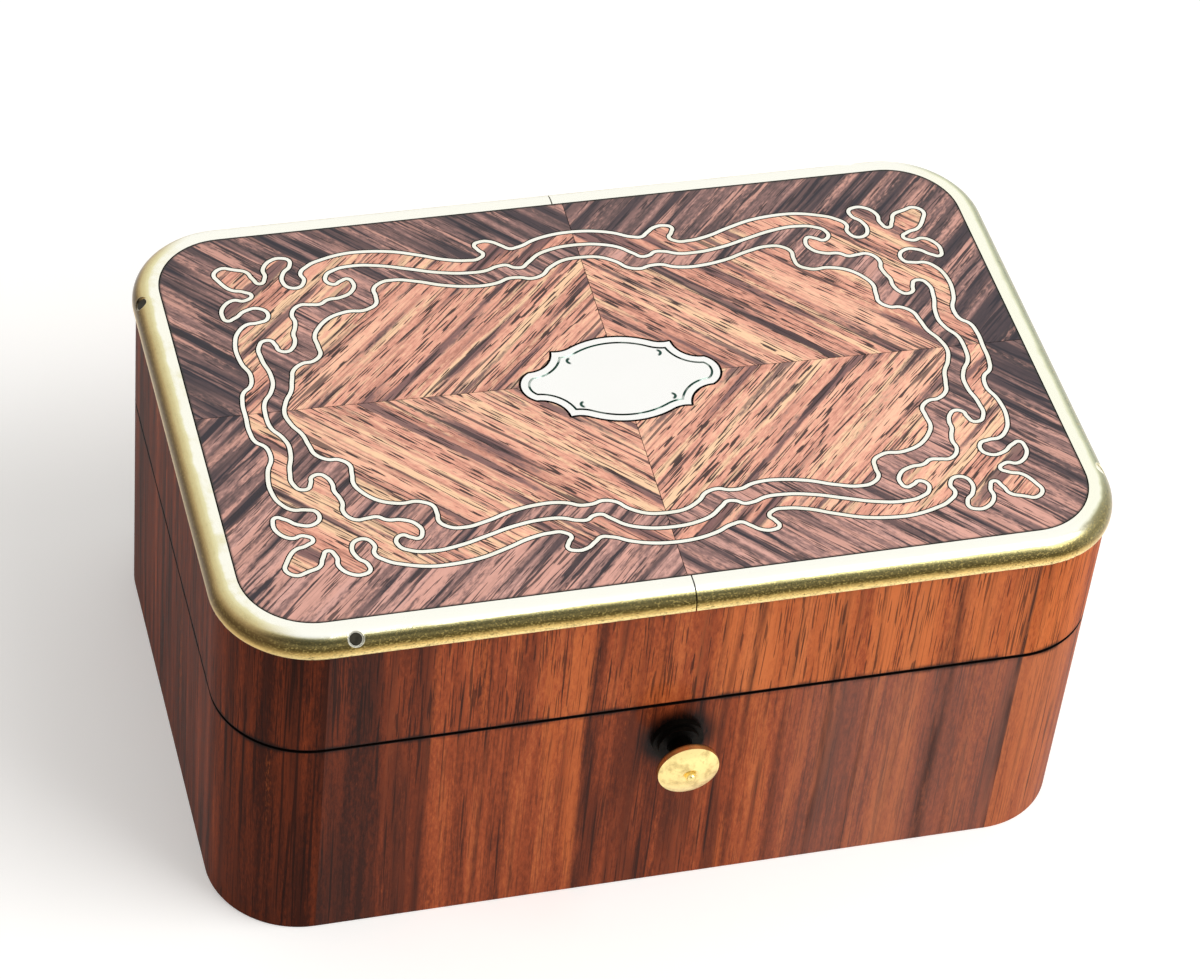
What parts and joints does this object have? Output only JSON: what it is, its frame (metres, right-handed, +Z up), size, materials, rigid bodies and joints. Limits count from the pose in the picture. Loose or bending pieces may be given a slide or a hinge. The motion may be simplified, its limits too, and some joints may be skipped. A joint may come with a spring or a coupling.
{
  "type": "rosewood casket",
  "caption": "Small hinged-lid rosewood casket with rounded corners, a brass-edged lid with scrolled stringing round a cartouche, and a push button that frees the lid's catch.",
  "frame": {"origin": "middle of the flat underside, on the surface that it stands on", "axes": "+X along the length to the right, -Y to the front with the button, +Z up"},
  "size_m": [0.111, 0.0802, 0.0512],
  "materials": {
    "carcass_wood": "plain wood, oiled",
    "wall_rosewood": "upright grain, French polished",
    "dark_rosewood": "dark rosewood, French polished",
    "light_rosewood": "orange-brown rosewood, French polished",
    "brass_edging": "polished and rubbed",
    "brass_string": "pale polished inlay",
    "white_metal": "polished white metal with an engraved line",
    "button_brass": "turned and polished",
    "dark_brass": "blackened",
    "hinge_brass": "dull brass",
    "steel": "plain steel",
    "silk_lining": "silk over card",
    "silk_pad": "padded silk"
  },
  "bodies": {
    "base": {"bottom_board": "carcass_wood", "base_front_board": "carcass_wood", "base_front_veneer": "wall_rosewood", "base_front_lining": "silk_lining", "base_back_board": "carcass_wood", "base_back_veneer": "wall_rosewood", "base_back_lining": "silk_lining", "base_left_board": "carcass_wood", "base_left_veneer": "wall_rosewood", "base_left_lining": "silk_lining", "base_right_board": "carcass_wood", "base_right_veneer": "wall_rosewood", "base_right_lining": "silk_lining", "floor_pad": "silk_pad", "hinge_screws_base": "steel", "button_collar": "dark_brass", "lock_plate": "hinge_brass", "lock_screws": "steel", "catch_pivot_pin": "steel", "catch_spring": "steel", "spring_rivet": "steel", "left_hinge_base_leaf": "hinge_brass", "left_hinge_pin": "steel", "right_hinge_base_leaf": "hinge_brass", "right_hinge_pin": "steel"},
    "lid": {"lid_top_board": "carcass_wood", "lid_front_board": "carcass_wood", "lid_front_veneer": "wall_rosewood", "lid_front_lining": "silk_lining", "lid_back_board": "carcass_wood", "lid_back_veneer": "wall_rosewood", "lid_back_lining": "silk_lining", "lid_left_board": "carcass_wood", "lid_left_veneer": "wall_rosewood", "lid_left_lining": "silk_lining", "lid_right_board": "carcass_wood", "lid_right_veneer": "wall_rosewood", "lid_right_lining": "silk_lining", "field_veneer": "dark_rosewood", "light_band_veneer": "light_rosewood", "dark_band_veneer": "dark_rosewood", "centre_veneer": "light_rosewood", "outer_string": "brass_string", "middle_string": "brass_string", "inner_string": "brass_string", "cartouche": "white_metal", "edging_left": "brass_edging", "edging_right": "brass_edging", "edging_pins": "dark_brass", "lid_pad": "silk_pad", "hinge_screws_lid": "steel", "strike_plate": "hinge_brass", "strike_screws": "steel", "left_hinge_lid_leaf": "hinge_brass", "right_hinge_lid_leaf": "hinge_brass"},
    "button": {"push_button": "button_brass", "button_washer": "steel"},
    "catch": {"catch_lever": "steel"}
  },
  "joints": [
    {"name": "lid_hinge", "type": "hinge", "parent": "base", "child": "lid", "pos_m": [0, 0.03485, 0.0322], "axis": [-1, 0, 0], "range_deg": [0, 100]},
    {"name": "button_slide", "type": "slide", "parent": "base", "child": "button", "axis": [0, 1, 0], "range_m": [0, 0.0015], "stiffness_N_per_m": 600, "springref_m": -0.002},
    {"name": "catch_pivot", "type": "hinge", "parent": "base", "child": "catch", "pos_m": [0, -0.0319, 0.008], "axis": [-1, 0, 0], "range_deg": [0, 4.8], "deforming": ["catch_spring"]}
  ],
  "couplings": [
    {"joint": "catch_pivot", "follows": "button_slide", "rad_per_m": 55.556}
  ]
}
